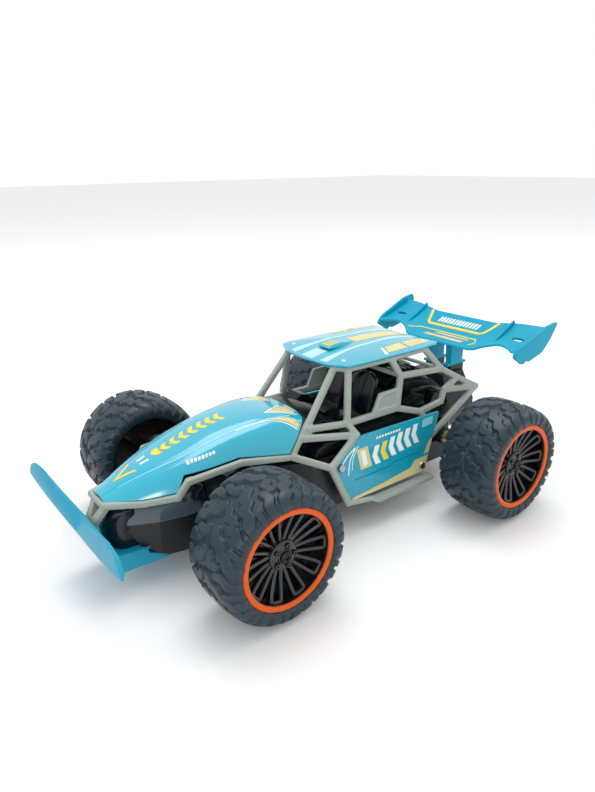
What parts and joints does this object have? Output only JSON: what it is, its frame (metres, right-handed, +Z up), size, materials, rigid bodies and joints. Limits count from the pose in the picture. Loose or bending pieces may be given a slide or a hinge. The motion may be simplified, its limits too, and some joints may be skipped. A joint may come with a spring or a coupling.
{
  "type": "toy off-road buggy",
  "caption": "Radio-controlled toy buggy: caged body with hood, roof and rear wing, steered and sprung front wheels, driven rear axle.",
  "frame": {"origin": "on the ground, under the middle of the car's bounding box", "axes": "+X towards the nose, +Y to the car's left, +Z up"},
  "size_m": [0.316, 0.2028, 0.1063],
  "materials": {
    "body_blue": "glossy moulded shell with printed stripes",
    "aero_blue": "satin moulded",
    "cage_grey": "satin moulded",
    "shell_black": "fine texture",
    "seat_black": "glossy",
    "rim_black": "glossy",
    "ring_orange": "satin moulded",
    "tyre_rubber": "soft rubber",
    "steel": "bright",
    "brass": "turned",
    "nylon_white": "moulded nylon",
    "board_green": "solder mask",
    "cell_blue": "shrink wrap",
    "control_orange": "moulded"
  },
  "bodies": {
    "chassis": {"chassis_tub": "shell_black", "cockpit_deck": "shell_black", "seats": "seat_black", "hood_shell": "body_blue", "hood_trim": "cage_grey", "roof_panel": "body_blue", "door_panel_left": "body_blue", "door_panel_right": "body_blue", "roll_cage_left": "cage_grey", "roll_cage_right": "cage_grey", "cage_crossbars": "cage_grey", "front_bumper": "aero_blue", "steering_housing": "shell_black", "upper_arm_plate": "shell_black", "kingpins": "steel", "steering_motor": "steel", "battery_pack": "cell_blue", "battery_door": "shell_black", "circuit_board": "board_green", "wing_posts": "aero_blue", "rear_wing": "aero_blue", "rear_cover": "shell_black", "gearbox_case": "shell_black", "gearbox_cover": "shell_black", "axle_bushes": "brass", "idler_pin": "steel", "drive_motor": "steel", "body_screws": "steel", "chassis_screws": "steel"},
    "suspension_left": {"spring_seat_left": "shell_black", "spring_left": "steel"},
    "suspension_right": {"spring_seat_right": "shell_black", "spring_right": "steel"},
    "hub_carrier_left": {"knuckle_left": "shell_black", "stub_axle_left": "steel", "wheel_screw_front_left": "steel"},
    "hub_carrier_right": {"knuckle_right": "shell_black", "stub_axle_right": "steel", "wheel_screw_front_right": "steel"},
    "front_wheel_left": {"tyre_front_left": "tyre_rubber", "rim_front_left": "rim_black", "trim_ring_front_left": "ring_orange"},
    "front_wheel_right": {"tyre_front_right": "tyre_rubber", "rim_front_right": "rim_black", "trim_ring_front_right": "ring_orange"},
    "rack_bar": {"steering_rack": "shell_black"},
    "steering_sector": {"steering_gear": "nylon_white"},
    "servo_rotor": {"steering_pinion": "brass"},
    "rear_wheels": {"rear_axle": "steel", "axle_gear": "nylon_white", "tyre_rear_left": "tyre_rubber", "tyre_rear_right": "tyre_rubber", "rim_rear_left": "rim_black", "rim_rear_right": "rim_black", "trim_rings_rear": "ring_orange", "wheel_screws_rear": "steel"},
    "idler": {"idler_gear": "nylon_white"},
    "motor_rotor": {"motor_pinion": "brass"},
    "switch": {"power_switch": "control_orange"},
    "trim_dial": {"trim_lever": "control_orange"}
  },
  "joints": [
    {"name": "suspension_left", "type": "slide", "parent": "chassis", "child": "suspension_left", "axis": [0, 0, 1], "range_m": [0, 0.004], "stiffness_N_per_m": 500, "springref_m": -0.006, "deforming": ["spring_left"]},
    {"name": "steering_left", "type": "hinge", "parent": "suspension_left", "child": "hub_carrier_left", "pos_m": [0.087, 0.046, 0.0335], "axis": [0, 0, 1], "range_deg": [-18, 18]},
    {"name": "front_wheel_left", "type": "hinge", "parent": "hub_carrier_left", "child": "front_wheel_left", "pos_m": [0.087, 0.0721, 0.036], "axis": [0, 1, 0], "continuous": true},
    {"name": "suspension_right", "type": "slide", "parent": "chassis", "child": "suspension_right", "axis": [0, 0, 1], "range_m": [0, 0.004], "stiffness_N_per_m": 500, "springref_m": -0.006, "deforming": ["spring_right"]},
    {"name": "steering_right", "type": "hinge", "parent": "suspension_right", "child": "hub_carrier_right", "pos_m": [0.087, -0.046, 0.0335], "axis": [0, 0, 1], "range_deg": [-18, 18]},
    {"name": "front_wheel_right", "type": "hinge", "parent": "hub_carrier_right", "child": "front_wheel_right", "pos_m": [0.087, -0.0721, 0.036], "axis": [0, 1, 0], "continuous": true},
    {"name": "rack_slide", "type": "slide", "parent": "chassis", "child": "rack_bar", "axis": [0, 1, 0], "range_m": [-0.0039, 0.0039]},
    {"name": "sector_turn", "type": "hinge", "parent": "chassis", "child": "steering_sector", "pos_m": [0.063, 0, 0.0335], "axis": [0, 0, 1], "range_deg": [-28, 28]},
    {"name": "servo_turn", "type": "hinge", "parent": "chassis", "child": "servo_rotor", "pos_m": [0.047, 0, 0.0335], "axis": [0, 0, 1], "range_deg": [-84, 84]},
    {"name": "rear_axle_spin", "type": "hinge", "parent": "chassis", "child": "rear_wheels", "pos_m": [-0.079, 0, 0.036], "axis": [0, 1, 0], "continuous": true},
    {"name": "idler_spin", "type": "hinge", "parent": "chassis", "child": "idler", "pos_m": [-0.0598, 0, 0.036], "axis": [0, 1, 0], "continuous": true},
    {"name": "motor_spin", "type": "hinge", "parent": "chassis", "child": "motor_rotor", "pos_m": [-0.046, 0, 0.036], "axis": [0, 1, 0], "continuous": true},
    {"name": "switch_slide", "type": "slide", "parent": "chassis", "child": "switch", "axis": [1, 0, 0], "range_m": [0, 0.003]},
    {"name": "trim_turn", "type": "hinge", "parent": "chassis", "child": "trim_dial", "pos_m": [0.1, 0, 0.016], "axis": [0, 0, 1], "range_deg": [-40, 40]}
  ],
  "couplings": [
    {"joint": "steering_right", "follows": "steering_left", "ratio": 1},
    {"joint": "rack_slide", "follows": "steering_left", "m_per_rad": -0.012},
    {"joint": "sector_turn", "follows": "steering_left", "ratio": -1.5},
    {"joint": "servo_turn", "follows": "steering_left", "ratio": 4.5},
    {"joint": "idler_spin", "follows": "rear_axle_spin", "ratio": -3},
    {"joint": "motor_spin", "follows": "rear_axle_spin", "ratio": 10.8}
  ]
}
